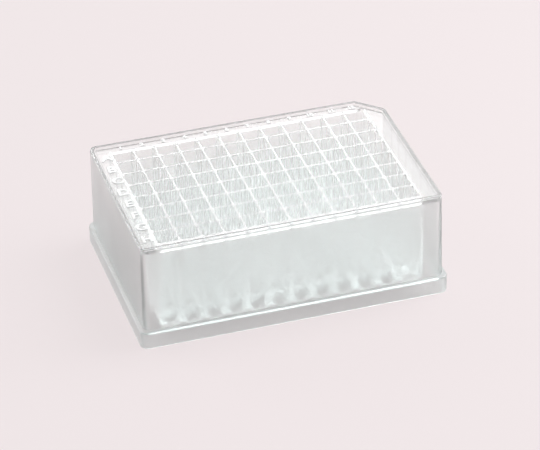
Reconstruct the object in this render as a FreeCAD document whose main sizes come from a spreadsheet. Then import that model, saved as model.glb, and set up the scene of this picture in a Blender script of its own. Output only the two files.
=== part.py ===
import FreeCAD, Part
import math
import os
import Sketcher

# A deep well plate: one clear moulding with twelve columns and eight rows of square wells.
# Millimetres. +Z is up and the origin is the centre of the footprint on the bench.
# X runs along the rows, with column 1 at -X, and row A is at +Y.

NODE = "well_plate"
TOUCHING = 1e-6  # two heights this close are the same

SIZES = {
    "footprint_length": (127.76, "outside of the base flange along X, the standard footprint"),
    "footprint_width": (85.48, "outside of the base flange along Y"),
    "footprint_radius": (3.18, "corners of the base flange in plan"),
    "plate_height": (45.0, "bench to the top of the rim"),
    "flange_height": (7.62, "bench to the ledge on top of the base flange"),
    "ledge_width": (2.0, "how far the flange stands out past the outer wall"),
    "wall_thickness": (1.5, "outer wall and flange"),
    "wall_radius": (2.6, "upright corners of the outer wall"),
    "corner_cut": (10.0, "leg of the 45 degree cut at the corner beside well A12"),
    "rim_width": (1.7, "raised rim around the deck"),
    "rim_height": (1.3, "rim above the deck"),
    "deck_thickness": (1.6, "deck around the wells"),
    "column_count": (12, "wells along X"),
    "row_count": (8, "wells along Y"),
    "well_pitch": (9.0, "centre to centre, both ways"),
    "well_width": (8.2, "square well, wall to wall"),
    "well_facet": (0.8, "leg of the 45 degree facet in the upright corners of a well"),
    "well_depth": (40.8, "deck to the floor of a well"),
    "taper_depth": (4.2, "height of the tapering bottom of a well"),
    "floor_width": (2.4, "small flat floor of a well"),
    "block_radius": (0.5, "upright corners of the block of wells"),
    "floor_thickness": (1.2, "below the floor of a well"),
    "taper_wall": (1.0, "below the tapering faces, square to them"),
    "block_wall": (1.1, "around the outermost wells"),
    "edge_round": (0.5, "rounding of the rim, the ledge and the foot"),
}


class Amount:
    # A length as it is now, with the sheet expression that keeps it up to date.

    def __init__(self, number, text):
        self.number = number
        self.text = text

    def joined(self, sign, other, number):
        text = other.text if isinstance(other, Amount) else str(other)
        return Amount(number, "(%s %s %s)" % (self.text, sign, text))

    def __add__(self, other):
        return self.joined("+", other, self.number + plain(other))

    def __sub__(self, other):
        return self.joined("-", other, self.number - plain(other))

    def __mul__(self, other):
        return self.joined("*", other, self.number * plain(other))

    def __truediv__(self, other):
        return self.joined("/", other, self.number / plain(other))

    def __neg__(self):
        return Amount(-self.number, "(0 - %s)" % self.text)


def plain(value):
    return value.number if isinstance(value, Amount) else value


def root(amount):
    return Amount(math.sqrt(amount.number), "sqrt(%s)" % amount.text)


def smaller(first, second):
    return Amount(min(first.number, second.number), "min(%s; %s)" % (first.text, second.text))


def makeSheet(doc):
    sheet = doc.addObject("Spreadsheet::Sheet", "sizes")
    for number, (alias, (value, meaning)) in enumerate(SIZES.items(), start=1):
        sheet.set("A%d" % number, alias)
        sheet.set("B%d" % number, str(value))
        sheet.set("C%d" % number, meaning)
        sheet.setAlias("B%d" % number, alias)
    doc.recompute()


def size(alias):
    return Amount(SIZES[alias][0], "sizes." + alias)


def bind(item, name, amount):
    item.setExpression(name, amount.text)


def newSketch(body, name, role, height=None):
    # A sketch on one of the body's origin planes, lifted by height where that is given.
    sketch = body.newObject("Sketcher::SketchObject", name)
    plane = [item for item in body.Origin.OriginFeatures if item.Role == role][0]
    sketch.AttachmentSupport = [(plane, "")]
    sketch.MapMode = "FlatFace"
    if height is not None:
        bind(sketch, "AttachmentOffset.Base.z", height)
    return sketch


def addConstraint(sketch, kind, *where, amount=None, name=None):
    # One constraint, tied to its amount where it has one.
    if amount is None:
        sketch.addConstraint(Sketcher.Constraint(kind, *where))
        return
    number = sketch.addConstraint(Sketcher.Constraint(kind, *where, abs(amount.number)))
    sketch.renameConstraint(number, name)
    bind(sketch, "Constraints." + name, amount)


def addOutline(sketch, length, width, radius, cut=None):
    # A rounded rectangle about the origin, its far right corner cut off where cut is given.
    left, right = -length / 2, length / 2
    front, back = -width / 2, width / 2
    corners = [(left.number, front.number), (right.number, front.number)]
    if cut is None:
        corners.append((right.number, back.number))
    else:
        corners.append((right.number, back.number - cut.number))
        corners.append((right.number - cut.number, back.number))
    corners.append((left.number, back.number))

    points = [FreeCAD.Vector(x, y, 0) for x, y in corners]
    count = len(points)
    arcs = []
    ends = []
    for number, point in enumerate(points):
        before = (points[number - 1] - point).normalize()
        after = (points[(number + 1) % count] - point).normalize()
        halfAngle = before.getAngle(after) / 2
        reach = radius.number / math.tan(halfAngle)
        start, end = point + before * reach, point + after * reach
        inward = (before + after).normalize()
        hub = point + inward * (radius.number / math.sin(halfAngle))
        middle = hub - inward * radius.number
        arcs.append(sketch.addGeometry(Part.Arc(start, middle, end), False))
        ends.append((start, end))
    lines = []
    for number in range(count):
        segment = Part.LineSegment(ends[number][1], ends[(number + 1) % count][0])
        lines.append(sketch.addGeometry(segment, False))

    for number in range(count):
        addConstraint(sketch, "Tangent", arcs[number], 2, lines[number], 1)
        addConstraint(sketch, "Tangent", lines[number], 2, arcs[(number + 1) % count], 1)
    for arc in arcs[1:]:
        addConstraint(sketch, "Equal", arcs[0], arc)
    addConstraint(sketch, "Radius", arcs[0], amount=radius, name="radius")

    frontLine, rightLine = lines[0], lines[1]
    backLine, leftLine = lines[-2], lines[-1]
    for line in (frontLine, backLine):
        addConstraint(sketch, "Horizontal", line)
    for line in (leftLine, rightLine):
        addConstraint(sketch, "Vertical", line)
    placeLine(sketch, "DistanceX", leftLine, left, "leftSide")
    placeLine(sketch, "DistanceX", rightLine, right, "rightSide")
    placeLine(sketch, "DistanceY", frontLine, front, "frontSide")
    placeLine(sketch, "DistanceY", backLine, back, "backSide")
    if cut is not None:
        cutLine = lines[2]
        sketch.addConstraint(Sketcher.Constraint("Angle", cutLine, math.radians(135)))
        reach = (right + back - cut) / root(Amount(2.0, "2"))
        addConstraint(sketch, "Distance", -1, 1, cutLine, amount=reach, name="cutReach")


def placeLine(sketch, kind, line, place, name):
    # Puts a line at its signed distance from the sketch's origin.
    if place.number < 0:
        addConstraint(sketch, kind, line, 1, -1, 1, amount=-place, name=name)
    else:
        addConstraint(sketch, kind, -1, 1, line, 1, amount=place, name=name)


def addTriangle(sketch, centre, halfWidth, bottom, top):
    # A groove's section, standing on its broad side.
    corners = [(centre - halfWidth, bottom), (centre + halfWidth, bottom), (centre, top)]
    points = [FreeCAD.Vector(x.number, z.number, 0) for x, z in corners]
    for number in range(3):
        sketch.addGeometry(Part.LineSegment(points[number], points[(number + 1) % 3]), False)
    for number in range(3):
        addConstraint(sketch, "Coincident", number, 2, (number + 1) % 3, 1)
    for number, (x, z) in enumerate(corners):
        placeLine(sketch, "DistanceX", number, x, "across%d" % number)
        placeLine(sketch, "DistanceY", number, z, "up%d" % number)


def addFeature(body, kind, name, sketch, length, upwards=True, symmetric=False):
    # A Pad or a Pocket from a level sketch, or one that runs both ways from an upright sketch.
    feature = body.newObject("PartDesign::" + kind, name)
    feature.Profile = sketch
    bind(feature, "Length", length)
    if symmetric:
        feature.SideType = "Symmetric"
    else:
        feature.Reversed = upwards != (kind == "Pad")
    sketch.Visibility = False
    return feature


def addLoft(body, kind, name, first, second):
    loft = body.newObject("PartDesign::" + kind, name)
    loft.Profile = first
    loft.Sections = [second]
    loft.Ruled = True
    return loft


def addPattern(body, name, original, sketch, backwards, count):
    # Copies of a feature, a pitch apart, along the level axis of its own sketch.
    pattern = body.newObject("PartDesign::LinearPattern", name)
    pattern.Originals = [original]
    pattern.Direction = (sketch, ["H_Axis"])
    pattern.Reversed = backwards
    pattern.Mode = "Spacing"
    bind(pattern, "Offset", size("well_pitch"))
    bind(pattern, "Occurrences", count)
    body.Tip = pattern


def roundLevelEdges(body, name, base, radius, heights):
    # Rounds the edges of a feature that run level at the given heights.
    body.Document.recompute()
    names = []
    for number, edge in enumerate(base.Shape.Edges, start=1):
        box = edge.BoundBox
        if box.ZLength < TOUCHING and any(abs(box.ZMin - height) < TOUCHING for height in heights):
            names.append("Edge%d" % number)
    fillet = body.newObject("PartDesign::Fillet", name)
    fillet.Base = (base, names)
    bind(fillet, "Radius", radius)


def inset(outline, depth):
    # The same outline drawn inwards by a wall, with its sides and its cut still parallel.
    length, width, radius, cut = outline
    if cut is not None:
        cut = cut - depth * (2 - math.sqrt(2))
    return length - depth * 2, width - depth * 2, radius - depth, cut


def deckTop():
    return size("plate_height") - size("rim_height")


def wellFloor():
    return deckTop() - size("well_depth")


def firstWell():
    # the middle of well A1
    pitch = size("well_pitch")
    return -(size("column_count") - 1) * pitch / 2, (size("row_count") - 1) * pitch / 2


def buildBlank(doc):
    # The whole moulding before the wells: walls, flange, deck, rim and the block of the wells.
    body = doc.addObject("PartDesign::Body", "Blank")
    wallLength = size("footprint_length") - size("ledge_width") * 2
    wallWidth = size("footprint_width") - size("ledge_width") * 2
    deckUnderside = deckTop() - size("deck_thickness")
    blockBottom = wellFloor() - size("floor_thickness")
    firstColumn, firstRow = firstWell()

    # the tapering faces below a well run side by side with the ones inside it
    slope = (size("well_width") - size("floor_width")) / 2 / size("taper_depth")
    levelWall = size("taper_wall") * root(slope * slope + 1)
    tipHalf = size("floor_width") / 2 - size("floor_thickness") * slope + levelWall
    grooveHalf = size("well_pitch") / 2 - tipHalf
    grooveTop = blockBottom + grooveHalf / slope
    blockOverhang = size("well_width") / 2 + size("block_wall")
    shoulder = blockBottom + (blockOverhang - tipHalf) / slope

    flange = (size("footprint_length"), size("footprint_width"), size("footprint_radius"), None)
    wall = (wallLength, wallWidth, size("wall_radius"), size("corner_cut"))

    # outside
    sketch = newSketch(body, "FlangeOutline", "XY_Plane")
    addOutline(sketch, *flange)
    addFeature(body, "Pad", "BaseFlange", sketch, size("flange_height"))
    sketch = newSketch(body, "WallOutline", "XY_Plane")
    addOutline(sketch, *wall)
    outside = addFeature(body, "Pad", "OuterWall", sketch, size("plate_height"))

    rounding = smaller(size("edge_round"), size("wall_thickness") / 2)
    heights = [0.0, size("flange_height").number, size("plate_height").number]
    roundLevelEdges(body, "EdgeRounding", outside, rounding, heights)

    # the hollow underside, open below
    sketch = newSketch(body, "FlangeInside", "XY_Plane")
    addOutline(sketch, *inset(flange, size("wall_thickness")))
    flangeRoof = size("flange_height") - size("wall_thickness")
    addFeature(body, "Pocket", "FlangeHollow", sketch, flangeRoof)
    sketch = newSketch(body, "WallInside", "XY_Plane")
    addOutline(sketch, *inset(wall, size("wall_thickness")))
    addFeature(body, "Pocket", "WallHollow", sketch, deckUnderside)

    # the block of wells under the deck
    spanX = (size("column_count") - 1) * size("well_pitch")
    spanY = (size("row_count") - 1) * size("well_pitch")
    sketch = newSketch(body, "BlockTip", "XY_Plane", blockBottom)
    addOutline(sketch, spanX + tipHalf * 2, spanY + tipHalf * 2, size("block_radius"))
    upper = newSketch(body, "BlockShoulder", "XY_Plane", shoulder)
    addOutline(upper, spanX + blockOverhang * 2, spanY + blockOverhang * 2, size("block_radius"))
    addLoft(body, "AdditiveLoft", "BlockTaper", sketch, upper)
    addFeature(body, "Pad", "BlockWalls", upper, deckUnderside - shoulder)

    # the grooves that part the wells' tapering bottoms
    firstGroove = firstColumn + size("well_pitch") / 2
    sketch = newSketch(body, "ColumnGrooveSection", "XZ_Plane")
    addTriangle(sketch, firstGroove, grooveHalf, blockBottom, grooveTop)
    groove = addFeature(body, "Pocket", "ColumnGroove", sketch, spanY + blockOverhang * 2, symmetric=True)
    addPattern(body, "ColumnGrooves", groove, sketch, False, size("column_count") - 1)
    sketch = newSketch(body, "RowGrooveSection", "YZ_Plane")
    addTriangle(sketch, firstRow - size("well_pitch") / 2, grooveHalf, blockBottom, grooveTop)
    groove = addFeature(body, "Pocket", "RowGroove", sketch, spanX + blockOverhang * 2, symmetric=True)
    addPattern(body, "RowGrooves", groove, sketch, True, size("row_count") - 1)

    # the deck inside the rim
    sketch = newSketch(body, "RimInside", "XY_Plane", size("plate_height"))
    addOutline(sketch, *inset(wall, size("rim_width")))
    addFeature(body, "Pocket", "DeckRecess", sketch, size("rim_height"), upwards=False)
    return body


def addSolid(doc, kind, name, corner, sizes):
    # A Part primitive with its corner and its sizes bound to the sheet.
    solid = doc.addObject("Part::" + kind, name)
    for axis, place in zip("xyz", corner):
        bind(solid, "Placement.Base." + axis, place)
    for key, amount in sizes.items():
        bind(solid, key, amount)
    return solid


def buildWell(doc):
    # The space inside well A1: a square shaft over a taper, its upright corners faceted.
    middleX, middleY = firstWell()
    halfWidth = size("well_width") / 2
    halfFloor = size("floor_width") / 2
    floorTop = wellFloor()
    taperTop = floorTop + size("taper_depth")
    corner = (middleX - halfWidth, middleY - halfWidth, taperTop)
    shaftSizes = {"Length": size("well_width"), "Width": size("well_width")}
    shaftSizes["Height"] = deckTop() - taperTop
    shaft = addSolid(doc, "Box", "WellShaft", corner, shaftSizes)
    taperSizes = {"Ymin": Amount(0.0, "0"), "Ymax": size("taper_depth")}
    for axis in "XZ":
        taperSizes[axis + "min"], taperSizes[axis + "max"] = -halfFloor, halfFloor
        taperSizes[axis + "2min"], taperSizes[axis + "2max"] = -halfWidth, halfWidth
    taper = addSolid(doc, "Wedge", "WellTaper", (middleX, middleY, floorTop), taperSizes)
    taper.Placement.Rotation = FreeCAD.Rotation(FreeCAD.Vector(1, 0, 0), 90)
    space = doc.addObject("Part::MultiFuse", "WellSpace")
    space.Shapes = [shaft, taper]

    # a square turned by 45 degrees leaves the facets
    across = (size("well_width") - size("well_facet")) * math.sqrt(2)
    corner = (middleX, middleY - across / math.sqrt(2), floorTop)
    turnedSizes = {"Length": across, "Width": across, "Height": size("well_depth")}
    turned = addSolid(doc, "Box", "WellFacets", corner, turnedSizes)
    turned.Placement.Rotation = FreeCAD.Rotation(FreeCAD.Vector(0, 0, 1), 45)
    well = doc.addObject("Part::Common", "Well")
    well.Base = space
    well.Tool = turned
    return well


def repeatWell(doc, well):
    # Every well of the grid, copied from A1 along its row and down its column.
    doc.recompute()
    pitch = size("well_pitch").number
    copies = []
    for column in range(int(size("column_count").number)):
        for row in range(int(size("row_count").number)):
            copy = well.Shape.copy()
            copy.translate(FreeCAD.Vector(column * pitch, -row * pitch, 0))
            copies.append(copy)
    wells = doc.addObject("Part::Feature", "Wells")
    wells.Shape = Part.makeCompound(copies)
    return wells


def checkModel(doc, node):
    for item in doc.Objects:
        if "Invalid" in item.State or "Error" in item.State:
            raise RuntimeError("%s failed: %s" % (item.Name, item.State))
        if item.TypeId == "PartDesign::Pocket" and item.Shape.Volume >= item.BaseFeature.Shape.Volume:
            raise RuntimeError(item.Name + " cuts nothing")
    shape = node.Shape
    if shape.isNull() or not shape.isValid() or len(shape.Solids) != 1:
        raise RuntimeError(node.Label + " is not one sound solid")


def main():
    doc = FreeCAD.newDocument("WellPlate")
    makeSheet(doc)
    blank = buildBlank(doc)
    wells = repeatWell(doc, buildWell(doc))
    plate = doc.addObject("Part::Cut", "WellPlate")
    plate.Label = NODE
    plate.Base = blank
    plate.Tool = wells
    doc.recompute()
    checkModel(doc, plate)
    os.makedirs("parts", exist_ok=True)
    plate.Shape.exportStep("parts/%s.step" % plate.Label)
    box = plate.Shape.optimalBoundingBox()
    print("%s: %.0f faces, %.1f cm3" % (plate.Label, len(plate.Shape.Faces), plate.Shape.Volume / 1000))
    print("box %.3f x %.3f x %.3f mm" % (box.XLength, box.YLength, box.ZLength))


main()
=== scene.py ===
import math

import bmesh
import bpy
from mathutils import Matrix, Vector


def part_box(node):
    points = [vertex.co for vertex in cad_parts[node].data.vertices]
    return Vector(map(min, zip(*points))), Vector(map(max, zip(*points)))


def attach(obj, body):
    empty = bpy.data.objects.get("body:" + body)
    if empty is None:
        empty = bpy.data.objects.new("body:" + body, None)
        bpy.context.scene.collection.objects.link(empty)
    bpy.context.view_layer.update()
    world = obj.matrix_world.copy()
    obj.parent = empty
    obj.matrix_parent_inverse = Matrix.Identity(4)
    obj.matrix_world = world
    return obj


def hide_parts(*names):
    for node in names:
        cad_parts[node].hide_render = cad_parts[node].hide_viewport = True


# A deep well plate of clear plastic, dressed for a picture on a pale ground.
# Metres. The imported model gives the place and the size, and everything rides on its one body.

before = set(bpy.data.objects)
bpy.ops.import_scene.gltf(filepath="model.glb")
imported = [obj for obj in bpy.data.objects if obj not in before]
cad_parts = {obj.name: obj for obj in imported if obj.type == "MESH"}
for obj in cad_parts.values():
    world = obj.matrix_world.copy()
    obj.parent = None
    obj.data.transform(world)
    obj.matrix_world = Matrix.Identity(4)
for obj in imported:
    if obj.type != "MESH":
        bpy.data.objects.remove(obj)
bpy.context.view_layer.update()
plateLow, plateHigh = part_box("well_plate")
plateHeight = plateHigh.z
print("frame loaded:", sorted(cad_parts))

scene = bpy.context.scene
scene.view_settings.view_transform = "Standard"
# light goes through many walls of a clear moulding
scene.cycles.max_bounces = 128
scene.cycles.diffuse_bounces = 32
scene.cycles.glossy_bounces = 128
scene.cycles.transmission_bounces = 128
scene.cycles.transparent_max_bounces = 32

# One polystyrene in three finishes: clear for the wells and the deck, hazy for the outer walls,
# frosted and closed to light for the letters.
plastic = {
    "ior": 1.59,
    "cloudScale": 45.0,
    "cloudDetail": 3.0,
    "cloudRange": (0.3, 0.7),
    "flowScale": 60.0,
    "flowDetail": 2.0,
    "flowStretch": (1.0, 1.0, 0.35),
    "flowDepth": 0.00004,
    "grainScale": 2600.0,
}
finishes = {
    "clearPlastic": {
        "tint": (0.990, 0.9995, 0.998),
        "through": 1.0,
        "roughness": (0.02, 0.06),
        "grainDepth": 0.000001,
    },
    "hazyPlastic": {
        "tint": (0.98, 0.995, 0.99),
        # painted shade: the hazy walls' colour darkens towards the foot
        "paintedFootShade": (0.81, 0.895, 0.88),
        "paintedShadeTop": 0.2,  # the painted shade reaches up from the foot to this share of the height
        "through": 1.0,
        "roughness": (0.29, 0.35),
        "grainDepth": 0.000004,
    },
    "frostedPlastic": {
        "tint": (0.96, 0.97, 0.97),
        "through": 0.0,
        "roughness": (0.45, 0.60),
        "grainDepth": 0.000006,
    },
}


def newMaterial(name):
    material = bpy.data.materials.new(name)
    material.use_nodes = True
    material.node_tree.nodes.clear()
    return material


def addNode(material, kind, place, **settings):
    node = material.node_tree.nodes.new(kind)
    node.location = place
    for key, value in settings.items():
        setattr(node, key, value)
    return node


def join(material, start, end):
    material.node_tree.links.new(start, end)


def paintShadeTowardsFoot(material, place, finish):
    # Paints shade into the tint by height, a little darker towards the foot.
    height = addNode(material, "ShaderNodeSeparateXYZ", (-950, 600))
    deepen = addNode(material, "ShaderNodeMapRange", (-700, 600))
    deepen.inputs["From Min"].default_value = plateHeight * finish["paintedShadeTop"]
    deepen.inputs["From Max"].default_value = plateHeight
    shade = addNode(material, "ShaderNodeMix", (-450, 600), data_type="RGBA")
    shade.inputs["A"].default_value = (*finish["paintedFootShade"], 1.0)
    shade.inputs["B"].default_value = (*finish["tint"], 1.0)
    join(material, place.outputs["Object"], height.inputs["Vector"])
    join(material, height.outputs["Z"], deepen.inputs["Value"])
    join(material, deepen.outputs["Result"], shade.inputs["Factor"])
    return shade.outputs["Result"]


def mouldedPlastic(name):
    # Polystyrene with cloudy gloss, the faint flow of the melt and a fine grain from the tool; where the
    # finish has it, painted shade darkens the colour towards the foot.
    finish = finishes[name]
    material = newMaterial(name)
    place = addNode(material, "ShaderNodeTexCoord", (-1200, 0))
    output = addNode(material, "ShaderNodeOutputMaterial", (400, 0))
    shader = addNode(material, "ShaderNodeBsdfPrincipled", (100, 0))
    shader.inputs["IOR"].default_value = plastic["ior"]
    shader.inputs["Transmission Weight"].default_value = finish["through"]
    shader.inputs["Base Color"].default_value = (*finish["tint"], 1.0)
    join(material, shader.outputs["BSDF"], output.inputs["Surface"])
    # painted shade: the base colour darkens by height towards the foot
    if "paintedFootShade" in finish:
        join(material, paintShadeTowardsFoot(material, place, finish), shader.inputs["Base Color"])

    cloud = addNode(material, "ShaderNodeTexNoise", (-700, 300))
    cloud.inputs["Scale"].default_value = plastic["cloudScale"]
    cloud.inputs["Detail"].default_value = plastic["cloudDetail"]
    spread = addNode(material, "ShaderNodeMapRange", (-450, 300))
    spread.inputs["From Min"].default_value, spread.inputs["From Max"].default_value = plastic["cloudRange"]
    spread.inputs["To Min"].default_value, spread.inputs["To Max"].default_value = finish["roughness"]
    join(material, place.outputs["Object"], cloud.inputs["Vector"])
    join(material, cloud.outputs["Fac"], spread.inputs["Value"])
    join(material, spread.outputs["Result"], shader.inputs["Roughness"])

    # the ripples of the melt are drawn out up and down the walls
    stretch = addNode(material, "ShaderNodeMapping", (-950, -150))
    stretch.inputs["Scale"].default_value = plastic["flowStretch"]
    flow = addNode(material, "ShaderNodeTexNoise", (-700, -100))
    flow.inputs["Scale"].default_value = plastic["flowScale"]
    flow.inputs["Detail"].default_value = plastic["flowDetail"]
    ripple = addNode(material, "ShaderNodeBump", (-300, -150))
    ripple.inputs["Distance"].default_value = plastic["flowDepth"]
    fine = addNode(material, "ShaderNodeTexNoise", (-700, -400))
    fine.inputs["Scale"].default_value = plastic["grainScale"]
    texture = addNode(material, "ShaderNodeBump", (-100, -250))
    texture.inputs["Distance"].default_value = finish["grainDepth"]
    join(material, place.outputs["Object"], stretch.inputs["Vector"])
    join(material, stretch.outputs["Vector"], flow.inputs["Vector"])
    join(material, flow.outputs["Fac"], ripple.inputs["Height"])
    join(material, place.outputs["Object"], fine.inputs["Vector"])
    join(material, fine.outputs["Fac"], texture.inputs["Height"])
    join(material, ripple.outputs["Normal"], texture.inputs["Normal"])
    join(material, texture.outputs["Normal"], shader.inputs["Normal"])
    return material


clearPlastic = mouldedPlastic("clearPlastic")
hazyPlastic = mouldedPlastic("hazyPlastic")
frostedPlastic = mouldedPlastic("frostedPlastic")
print("materials made")

# The wells: one cell is built, and Geometry Nodes repeats it on the grid.
weldDistance = 0.000002  # points closer than this are one
well = {
    "columns": 12,
    "rows": 8,
    "pitch": 0.009,
    "halfWidth": 0.0041,
    "cornerRadius": 0.0009,
    "lip": 0.0002,
    "deckDrop": 0.0013,
    "depth": 0.0408,
    "taperHeight": 0.0042,
    "floorHalf": 0.0012,
    "floorRadius": 0.0006,
    "tipRadius": 0.00048,
    "roundestCorner": 0.98,  # the most that a corner's radius takes up of the half width
    "floorThickness": 0.0012,
    "taperWall": 0.0010,
    "blend": 0.0006,
    "cornerSteps": 5,
    "edgeSteps": 3,
}
deckTop = plateHeight - well["deckDrop"]
floorTop = deckTop - well["depth"]
taperTop = floorTop + well["taperHeight"]
blockBottom = floorTop - well["floorThickness"]
taperSlope = (well["halfWidth"] - well["floorHalf"]) / well["taperHeight"]
levelWall = well["taperWall"] * math.sqrt(taperSlope**2 + 1)  # the sloping wall, measured level
tipHalf = well["floorHalf"] - well["floorThickness"] * taperSlope + levelWall


def underside(reach):
    # Height of the tapering underside at that distance from a well's middle.
    return blockBottom + (reach - tipHalf) / taperSlope


def curve(first, corner, last):
    # A rounded corner between two runs of a well's section.
    points = []
    for step in range(well["edgeSteps"] + 1):
        t = step / well["edgeSteps"]
        shares = ((1 - t) ** 2, 2 * t * (1 - t), t**2)
        reach = sum(share * point[0] for share, point in zip(shares, (first, corner, last)))
        height = sum(share * point[1] for share, point in zip(shares, (first, corner, last)))
        points.append((reach, height))
    return points


def squareRing(mesh, halfWidth, radius, height):
    # A ring of points round a square with rounded corners, anticlockwise from the right.
    steps = well["cornerSteps"]
    ring = []
    for quarter in range(4):
        middle = math.pi / 4 + quarter * math.pi / 2
        hub = Vector((math.cos(middle), math.sin(middle))) * (halfWidth - radius) * math.sqrt(2)
        for step in range(steps + 1):
            angle = quarter * math.pi / 2 + step * math.pi / 2 / steps
            x = hub.x + math.cos(angle) * radius
            y = hub.y + math.sin(angle) * radius
            ring.append(mesh.verts.new((x, y, height)))
    return ring


def skin(mesh, first, second):
    # Quads between two rings of the same length.
    faces = []
    for number in range(len(first)):
        after = (number + 1) % len(first)
        faces.append(mesh.faces.new((first[number], first[after], second[after], second[number])))
    return faces


def squareBorder(mesh, ring, height):
    # Joins a ring to the square border of its cell, so that cells meet corner to corner.
    half = well["pitch"] / 2
    steps = well["cornerSteps"] + 1
    corners = []
    for x, y in ((half, half), (-half, half), (-half, -half), (half, -half)):
        corners.append(mesh.verts.new((x, y, height)))
    for quarter, corner in enumerate(corners):
        own = ring[quarter * steps : (quarter + 1) * steps]
        for first, second in zip(own, own[1:]):
            mesh.faces.new((corner, first, second))
        following = (quarter + 1) % 4
        mesh.faces.new((corner, own[-1], ring[following * steps], corners[following]))


def closeCell(cell, rings, borderHeight):
    # The skin of one side of the cell, from its square border to its small flat end.
    squareBorder(cell, rings[0], borderHeight)
    for first, second in zip(rings, rings[1:]):
        skin(cell, first, second)
    cell.faces.new(rings[-1])


def buildCell():
    # One well and the taper below it, for a cell of the grid centred on the origin.
    half, floorHalf = well["halfWidth"], well["floorHalf"]
    lip, blend = well["lip"], well["blend"]
    slant = blend * taperSlope
    cell = bmesh.new()

    # inside: mouth, shaft, shoulder, taper, floor
    section = curve((half + lip, deckTop), (half, deckTop), (half, deckTop - lip))
    section += curve((half, taperTop + blend), (half, taperTop), (half - slant, taperTop - blend))
    high = (floorHalf + slant, floorTop + blend)
    section += curve(high, (floorHalf, floorTop), (floorHalf - blend, floorTop))
    rings = []
    for reach, height in section:
        depth = min(max((taperTop - height) / well["taperHeight"], 0.0), 1.0)
        corner = well["cornerRadius"] + max(reach - half, 0.0)
        corner += (well["floorRadius"] - corner) * depth
        rings.append(squareRing(cell, reach, min(corner, reach * well["roundestCorner"]), height))
    closeCell(cell, rings, deckTop)

    # underside: four sloping faces down to a small flat tip
    high = (tipHalf + slant, blockBottom + blend)
    section = curve(high, (tipHalf, blockBottom), (tipHalf - blend, blockBottom))
    rings = [squareRing(cell, reach, well["tipRadius"], height) for reach, height in section]
    closeCell(cell, rings, underside(well["pitch"] / 2))

    data = bpy.data.meshes.new("wellCell")
    cell.to_mesh(data)
    cell.free()
    return data


def repeatTree():
    # The cell it is given, on every point of a grid of columns and rows.
    tree = bpy.data.node_groups.new("wellGrid", "GeometryNodeTree")
    sockets = {}
    for name, kind, direction in (
        ("Cell", "NodeSocketGeometry", "INPUT"),
        ("Columns", "NodeSocketInt", "INPUT"),
        ("Rows", "NodeSocketInt", "INPUT"),
        ("Pitch", "NodeSocketFloat", "INPUT"),
        ("Plastic", "NodeSocketMaterial", "INPUT"),
        ("Wells", "NodeSocketGeometry", "OUTPUT"),
    ):
        sockets[name] = tree.interface.new_socket(name, in_out=direction, socket_type=kind)
    source = tree.nodes.new("NodeGroupInput")
    result = tree.nodes.new("NodeGroupOutput")
    grid = tree.nodes.new("GeometryNodeMeshGrid")
    for axis, counted in (("X", "Columns"), ("Y", "Rows")):
        gaps = tree.nodes.new("ShaderNodeMath")
        gaps.operation = "SUBTRACT"
        gaps.inputs[1].default_value = 1.0
        span = tree.nodes.new("ShaderNodeMath")
        span.operation = "MULTIPLY"
        tree.links.new(source.outputs[counted], gaps.inputs[0])
        tree.links.new(gaps.outputs[0], span.inputs[0])
        tree.links.new(source.outputs["Pitch"], span.inputs[1])
        tree.links.new(span.outputs[0], grid.inputs["Size " + axis])
        tree.links.new(source.outputs[counted], grid.inputs["Vertices " + axis])
    copies = tree.nodes.new("GeometryNodeInstanceOnPoints")
    real = tree.nodes.new("GeometryNodeRealizeInstances")
    finish = tree.nodes.new("GeometryNodeSetMaterial")
    tree.links.new(grid.outputs["Mesh"], copies.inputs["Points"])
    tree.links.new(source.outputs["Cell"], copies.inputs["Instance"])
    tree.links.new(copies.outputs["Instances"], real.inputs["Geometry"])
    tree.links.new(real.outputs["Geometry"], finish.inputs["Geometry"])
    tree.links.new(source.outputs["Plastic"], finish.inputs["Material"])
    tree.links.new(finish.outputs["Geometry"], result.inputs["Wells"])
    for number, node in enumerate(tree.nodes):
        node.location = (number * 200, 0)
    return tree, {name: socket.identifier for name, socket in sockets.items()}


def plainMesh(item, name):
    # The item as its modifiers leave it, as a mesh of its own.
    graph = bpy.context.evaluated_depsgraph_get()
    data = bpy.data.meshes.new_from_object(item.evaluated_get(graph), depsgraph=graph)
    data.name = name
    return data


def buildWells():
    # All the wells as one mesh, still in cells that meet edge to edge.
    holder = bpy.data.objects.new("wellCell", buildCell())
    scene.collection.objects.link(holder)
    tree, identifiers = repeatTree()
    modifier = holder.modifiers.new("wellGrid", "NODES")
    modifier.node_group = tree
    modifier[identifiers["Columns"]] = well["columns"]
    modifier[identifiers["Rows"]] = well["rows"]
    modifier[identifiers["Pitch"]] = well["pitch"]
    modifier[identifiers["Plastic"]] = clearPlastic
    data = plainMesh(holder, "wells")
    holder.modifiers.remove(modifier)
    bpy.data.objects.remove(holder)
    return data


# The shell round the wells: rim, walls and flange.
shell = {
    "ledge": 0.0020,
    "flangeTop": 0.00762,
    "flangeRadius": 0.00318,
    "wall": 0.0015,
    "wallRadius": 0.0026,
    "leastRadius": 0.0002,
    "cornerCut": 0.0100,
    "rimWidth": 0.0017,
    "deckThickness": 0.0016,
    "edgeRound": 0.0005,
    "smallRound": 0.0002,
    "ledgeFillet": 0.0004,
    "blockWall": 0.0011,
    "blockRadius": 0.0005,
    "blockCut": 0.0016,
    "tuck": 0.0006,
    "cornerSteps": 8,
    "roundSteps": 4,
    "sharpAngle": math.radians(38),
}
footLength = plateHigh.x - plateLow.x
footWidth = plateHigh.y - plateLow.y
wallLength = footLength - shell["ledge"] * 2
wallWidth = footWidth - shell["ledge"] * 2
blockLength = (well["columns"] - 1) * well["pitch"] + (well["halfWidth"] + shell["blockWall"]) * 2
blockWidth = (well["rows"] - 1) * well["pitch"] + (well["halfWidth"] + shell["blockWall"]) * 2
deckUnderside = deckTop - shell["deckThickness"]
flangeRoof = shell["flangeTop"] - shell["wall"]
plateFinishes = [clearPlastic, hazyPlastic]  # the plate's material slots, in order


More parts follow.
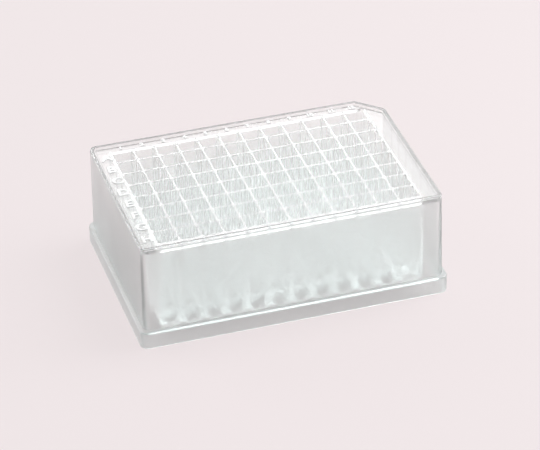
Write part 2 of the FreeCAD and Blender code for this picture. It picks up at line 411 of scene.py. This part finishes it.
def outlineRing(mesh, length, width, radius, cut, height):
    # A rounded rectangle with its far right corner cut, always with the same number of points.
    # Without a cut, both halves of that corner turn about one hub.
    right, back = length / 2, width / 2
    corners = [
        (-right, -back, 180, 270, 225),
        (right, -back, 270, 360, 315),
        (right, back - cut, 0, 45, 22.5 if cut else 45),
        (right - cut, back, 45, 90, 67.5 if cut else 45),
        (-right, back, 90, 180, 135),
    ]
    ring = []
    for x, y, start, end, facing in corners:
        half = math.radians(max(end - facing, facing - start))
        outward = Vector((math.cos(math.radians(facing)), math.sin(math.radians(facing))))
        hub = Vector((x, y)) - outward * radius / math.cos(half)
        steps = round(shell["cornerSteps"] * (end - start) / 90)
        for step in range(steps + 1):
            angle = math.radians(start + (end - start) * step / steps)
            point = hub + Vector((math.cos(angle), math.sin(angle))) * radius
            ring.append(mesh.verts.new((point.x, point.y, height)))
    return ring


def wallRing(mesh, depth, height):
    # The wall's outline, drawn in by a depth all round, the cut included.
    cut = shell["cornerCut"] - depth * (2 - math.sqrt(2))
    radius = max(shell["wallRadius"] - depth, shell["leastRadius"])
    return outlineRing(mesh, wallLength - depth * 2, wallWidth - depth * 2, radius, cut, height)


def flangeRing(mesh, depth, height):
    radius = shell["flangeRadius"] - depth
    return outlineRing(mesh, footLength - depth * 2, footWidth - depth * 2, radius, 0.0, height)


def blockRing(mesh, height):
    return outlineRing(mesh, blockLength, blockWidth, shell["blockRadius"], shell["blockCut"], height)


def quarterRound(radius):
    # How far in and how far down the points of a rounded edge lie, from the top to the side.
    angles = [math.pi / 2 * step / shell["roundSteps"] for step in range(shell["roundSteps"] + 1)]
    return [((1 - math.sin(angle)) * radius, (1 - math.cos(angle)) * radius) for angle in angles]


def tuckCorner(mesh):
    # Draws in the corner of the underside beside the cut, clear of the outer wall.
    halfLength = well["columns"] * well["pitch"] / 2
    halfWidth = well["rows"] * well["pitch"] / 2
    for vertex in mesh.verts:
        offX, offY = abs(vertex.co.x - halfLength), abs(vertex.co.y - halfWidth)
        if max(offX, offY) < weldDistance and vertex.co.z < plateHeight / 2:
            vertex.co.x -= shell["tuck"]
            vertex.co.y -= shell["tuck"]
            vertex.co.z = underside(well["pitch"] / 2 - shell["tuck"])


def closeGaps(mesh):
    # Joins the grid of wells to the rim above, and to the sides of their own block below.
    openEdges = [edge for edge in mesh.edges if edge.is_boundary]
    above = [edge for edge in openEdges if edge.verts[0].co.z > plateHeight / 2]
    below = [edge for edge in openEdges if edge.verts[0].co.z < plateHeight / 2]
    for edges in (above, below):
        bmesh.ops.triangle_fill(mesh, use_beauty=True, edges=edges)


def buildPlate():
    # One closed skin: the wells, then rings over the rim, down the walls and up inside them.
    mesh = bmesh.new()
    mesh.from_mesh(buildWells())
    for face in mesh.faces:
        face.material_index = plateFinishes.index(clearPlastic)
    bmesh.ops.remove_doubles(mesh, verts=mesh.verts, dist=weldDistance)
    tuckCorner(mesh)

    small, edgeRound, fillet = shell["smallRound"], shell["edgeRound"], shell["ledgeFillet"]
    clearRings = [
        wallRing(mesh, shell["rimWidth"], deckTop),
        wallRing(mesh, shell["rimWidth"], plateHeight - small),
        wallRing(mesh, shell["rimWidth"] - small, plateHeight),
        wallRing(mesh, edgeRound, plateHeight),
    ]
    for inward, down in quarterRound(edgeRound)[1:]:
        clearRings.append(wallRing(mesh, inward, plateHeight - down))

    hazyRings = [clearRings[-1]]
    for inward, down in reversed(quarterRound(fillet)):
        hazyRings.append(wallRing(mesh, inward - fillet, shell["flangeTop"] + down))
    for inward, down in quarterRound(edgeRound):
        hazyRings.append(flangeRing(mesh, inward, shell["flangeTop"] - down))
    for inward, down in reversed(quarterRound(edgeRound)):
        hazyRings.append(flangeRing(mesh, inward, down))
    hazyRings.append(flangeRing(mesh, shell["wall"] - small, 0.0))

    innerRings = [
        hazyRings[-1],
        flangeRing(mesh, shell["wall"], small),
        flangeRing(mesh, shell["wall"], flangeRoof),
        wallRing(mesh, shell["wall"], flangeRoof),
        wallRing(mesh, shell["wall"], deckUnderside),
        blockRing(mesh, deckUnderside),
        blockRing(mesh, underside(well["halfWidth"] + shell["blockWall"])),
    ]
    runs = ((clearRings, clearPlastic), (hazyRings, hazyPlastic), (innerRings, clearPlastic))
    for rings, finish in runs:
        for first, second in zip(rings, rings[1:]):
            for face in skin(mesh, first, second):
                face.material_index = plateFinishes.index(finish)
    closeGaps(mesh)

    bmesh.ops.remove_doubles(mesh, verts=mesh.verts, dist=weldDistance)
    bmesh.ops.dissolve_degenerate(mesh, edges=mesh.edges, dist=weldDistance / 2)
    bmesh.ops.recalc_face_normals(mesh, faces=mesh.faces)
    return shadePlate(mesh)


def shadePlate(mesh):
    # The finished plate: smooth faces with sharp edges between them, in its two plastics.
    loose = [edge for edge in mesh.edges if not edge.is_manifold]
    print("plate skin: %d faces, %d open edges" % (len(mesh.faces), len(loose)))
    for face in mesh.faces:
        face.smooth = True
    for edge in mesh.edges:
        if edge.is_manifold:
            edge.smooth = edge.calc_face_angle() < shell["sharpAngle"]

    data = bpy.data.meshes.new("plate")
    mesh.to_mesh(data)
    mesh.free()
    for finish in plateFinishes:
        data.materials.append(finish)
    draft = bpy.data.objects.new("plateDraft", data)
    scene.collection.objects.link(draft)
    weighted = draft.modifiers.new("weightedNormals", "WEIGHTED_NORMAL")
    weighted.keep_sharp = True
    finished = plainMesh(draft, "plate")
    bpy.data.objects.remove(draft)
    return finished


def addPiece(name, data):
    piece = bpy.data.objects.new(name, data)
    scene.collection.objects.link(piece)
    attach(piece, "root")
    return piece


plate = addPiece("plate", buildPlate())
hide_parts("well_plate")
print("plate made")

# The raised letters of the rows and numbers of the columns.
lettering = {
    "rowHeight": 0.0045,
    "columnHeight": 0.0021,
    "capShare": 0.7,  # how tall a capital is for a font size of one
    "proud": 0.00035,
    "sunk": 0.00005,
    "edge": 0.00006,
    "bold": 0.00012,
    "edgeSteps": 1,
    "curveSteps": 4,
    "rowPlace": 0.0032,
    "columnPlace": 0.0016,
}


def raisedText(words, tall, middle):
    # One word as a mesh, its middle at the given place on the deck.
    text = bpy.data.curves.new("text", "FONT")
    text.body = words
    text.extrude = (lettering["proud"] + lettering["sunk"]) / 2 - lettering["edge"]
    text.bevel_depth = lettering["edge"]
    text.bevel_resolution = lettering["edgeSteps"]
    text.offset = lettering["bold"]
    text.size = tall / lettering["capShare"]
    text.resolution_u = lettering["curveSteps"]
    item = bpy.data.objects.new("text", text)
    scene.collection.objects.link(item)
    data = plainMesh(item, "text")
    bpy.data.objects.remove(item)
    points = [vertex.co for vertex in data.vertices]
    low = Vector([min(point[axis] for point in points) for axis in range(3)])
    high = Vector([max(point[axis] for point in points) for axis in range(3)])
    data.transform(Matrix.Translation(middle - (low + high) / 2))
    return data


def buildLettering(labels, tall, places):
    # Several words as one mesh, each in its place and sunk a little into the deck.
    level = deckTop + (lettering["proud"] - lettering["sunk"]) / 2
    mesh = bmesh.new()
    for words, (x, y) in zip(labels, places):
        mesh.from_mesh(raisedText(words, tall, Vector((x, y, level))))
    bmesh.ops.remove_doubles(mesh, verts=mesh.verts, dist=weldDistance / 2)
    bmesh.ops.recalc_face_normals(mesh, faces=mesh.faces)
    for face in mesh.faces:
        face.smooth = False
    data = bpy.data.meshes.new("lettering")
    mesh.to_mesh(data)
    mesh.free()
    data.materials.append(frostedPlastic)
    return data


firstX = -(well["columns"] - 1) * well["pitch"] / 2
firstY = (well["rows"] - 1) * well["pitch"] / 2
deckLeft = -wallLength / 2 + shell["rimWidth"]
deckBack = wallWidth / 2 - shell["rimWidth"]
letterX = deckLeft + lettering["rowPlace"]
numberY = deckBack - lettering["columnPlace"]
rowPlaces = [(letterX, firstY - row * well["pitch"]) for row in range(well["rows"])]
columnPlaces = [(firstX + column * well["pitch"], numberY) for column in range(well["columns"])]
numbers = [str(column + 1) for column in range(well["columns"])]
addPiece("rowLetters", buildLettering("ABCDEFGH", lettering["rowHeight"], rowPlaces))
addPiece("columnNumbers", buildLettering(numbers, lettering["columnHeight"], columnPlaces))
print("lettering made")

# The ground, the light and the camera.
studio = {
    "groundColour": (0.863, 0.791, 0.799),
    "groundSize": 6.0,
    "groundOwnLight": 0.88,
    "groundSeenThrough": 0.57,
    "skyColour": (0.95, 0.96, 0.96),
    "openSky": (1.0, 1.0, 1.0),
    "lowSky": (0.75, 0.78, 0.78),
    "skyRise": 0.55,
    "skyStrength": 0.32,
}
lamps = {
    "topLamp": {"place": (0.52, 0.08, 1.00), "size": 0.60, "power": 7.4},
    "sideLamp": {"place": (0.57, -0.05, 0.31), "size": 0.35, "power": 2.5},
    "leftLamp": {"place": (-0.75, 0.80, 0.55), "size": 0.60, "power": 4.0},
    "backLamp": {"place": (0.46, 0.92, 0.65), "size": 0.85, "power": 1.6},
}


def calculate(material, operation, place, first, second):
    # One step of arithmetic, on two sockets or on a socket and a number.
    node = addNode(material, "ShaderNodeMath", place, operation=operation)
    for socket, value in zip(node.inputs, (first, second)):
        if isinstance(value, float):
            socket.default_value = value
        else:
            join(material, value, socket)
    return node.outputs[0]


def groundMaterial():
    material = newMaterial("paleGround")
    output = addNode(material, "ShaderNodeOutputMaterial", (600, 0))
    matte = addNode(material, "ShaderNodeBsdfDiffuse", (0, 100))
    matte.inputs["Color"].default_value = (*studio["groundColour"], 1.0)
    own = addNode(material, "ShaderNodeEmission", (0, -100))
    own.inputs["Color"].default_value = (*studio["groundColour"], 1.0)
    # its own light evens it out where it is seen straight on or in a reflection, less so
    # where it is seen through the plastic (a ray through plastic counts as glossy too)
    rays = addNode(material, "ShaderNodeLightPath", (-800, 400))
    through = rays.outputs["Is Transmission Ray"]
    mirrored = calculate(material, "SUBTRACT", (-600, 400), rays.outputs["Is Glossy Ray"], through)
    straight = calculate(material, "MAXIMUM", (-400, 400), rays.outputs["Is Camera Ray"], mirrored)
    plainShare = calculate(material, "MULTIPLY", (-200, 400), straight, studio["groundOwnLight"])
    throughShare = calculate(material, "MULTIPLY", (-200, 200), through, studio["groundSeenThrough"])
    share = calculate(material, "MAXIMUM", (0, 300), plainShare, throughShare)
    mix = addNode(material, "ShaderNodeMixShader", (400, 0))
    join(material, share, mix.inputs["Fac"])
    join(material, matte.outputs[0], mix.inputs[1])
    join(material, own.outputs[0], mix.inputs[2])
    join(material, mix.outputs[0], output.inputs["Surface"])
    return material


def buildGround():
    half = studio["groundSize"] / 2
    data = bpy.data.meshes.new("ground")
    corners = [(-half, -half, 0), (half, -half, 0), (half, half, 0), (-half, half, 0)]
    data.from_pydata(corners, [], [(0, 1, 2, 3)])
    data.materials.append(groundMaterial())
    ground = bpy.data.objects.new("ground", data)
    scene.collection.objects.link(ground)


def buildSky():
    world = bpy.data.worlds.new("studio")
    world.use_nodes = True
    scene.world = world
    world.node_tree.nodes.clear()
    output = addNode(world, "ShaderNodeOutputWorld", (600, 0))
    # seen in the plastic, the room is white above and grey towards the horizon
    direction = addNode(world, "ShaderNodeTexCoord", (-600, -200))
    parts = addNode(world, "ShaderNodeSeparateXYZ", (-400, -200))
    rise = addNode(world, "ShaderNodeMapRange", (-200, -200))
    rise.inputs["From Max"].default_value = studio["skyRise"]
    room = addNode(world, "ShaderNodeMix", (0, -200), data_type="RGBA")
    room.inputs["A"].default_value = (*studio["lowSky"], 1.0)
    room.inputs["B"].default_value = (*studio["openSky"], 1.0)
    seen = addNode(world, "ShaderNodeBackground", (200, -100))
    join(world, direction.outputs["Generated"], parts.inputs["Vector"])
    join(world, parts.outputs["Z"], rise.inputs["Value"])
    join(world, rise.outputs["Result"], room.inputs["Factor"])
    join(world, room.outputs["Result"], seen.inputs["Color"])
    light = addNode(world, "ShaderNodeBackground", (200, 100))
    light.inputs["Color"].default_value = (*studio["skyColour"], 1.0)
    light.inputs["Strength"].default_value = studio["skyStrength"]
    rays = addNode(world, "ShaderNodeLightPath", (-200, 300))
    glossy, through = rays.outputs["Is Glossy Ray"], rays.outputs["Is Transmission Ray"]
    mirrored = calculate(world, "MAXIMUM", (0, 300), rays.outputs["Is Camera Ray"], glossy)
    mix = addNode(world, "ShaderNodeMixShader", (400, 0))
    join(world, calculate(world, "MAXIMUM", (200, 300), mirrored, through), mix.inputs["Fac"])
    join(world, light.outputs[0], mix.inputs[1])
    join(world, seen.outputs[0], mix.inputs[2])
    join(world, mix.outputs[0], output.inputs["Surface"])


def buildLamps():
    target = Vector((0, 0, plateHeight / 2))
    for name, lamp in lamps.items():
        data = bpy.data.lights.new(name, "AREA")
        data.energy = lamp["power"]
        data.size = lamp["size"]
        item = bpy.data.objects.new(name, data)
        item.location = lamp["place"]
        item.rotation_mode = "QUATERNION"
        item.rotation_quaternion = (target - item.location).to_track_quat("-Z", "Y")
        scene.collection.objects.link(item)


view = {
    "turn": math.radians(-16.39),
    "elevation": math.radians(32.90),
    "roll": math.radians(-1.33),
    "across": 0.00207,
    "up": 0.01609,
    "distance": 1.280,
    "lens": 208.9,
    "sensor": 36.0,
    "near": 0.05,
    "far": 20.0,
}


def buildCamera():
    turn, elevation, roll = view["turn"], view["elevation"], view["roll"]
    level = math.cos(elevation)
    backward = Vector((math.sin(turn) * level, -math.cos(turn) * level, math.sin(elevation)))
    right = (-backward).cross(Vector((0, 0, 1))).normalized()
    upward = right.cross(-backward)
    place = backward * view["distance"] + right * view["across"] + upward * view["up"]
    rolledRight = right * math.cos(roll) + upward * math.sin(roll)
    rolledUp = upward * math.cos(roll) - right * math.sin(roll)
    data = bpy.data.cameras.new("camera")
    data.sensor_width = view["sensor"]
    data.lens = view["lens"]
    data.clip_start = view["near"]
    data.clip_end = view["far"]
    camera = bpy.data.objects.new("camera", data)
    axes = Matrix((rolledRight, rolledUp, backward)).transposed().to_4x4()
    camera.matrix_world = Matrix.Translation(place) @ axes
    scene.collection.objects.link(camera)
    scene.camera = camera


buildGround()
buildSky()
buildLamps()
buildCamera()
print("studio made")
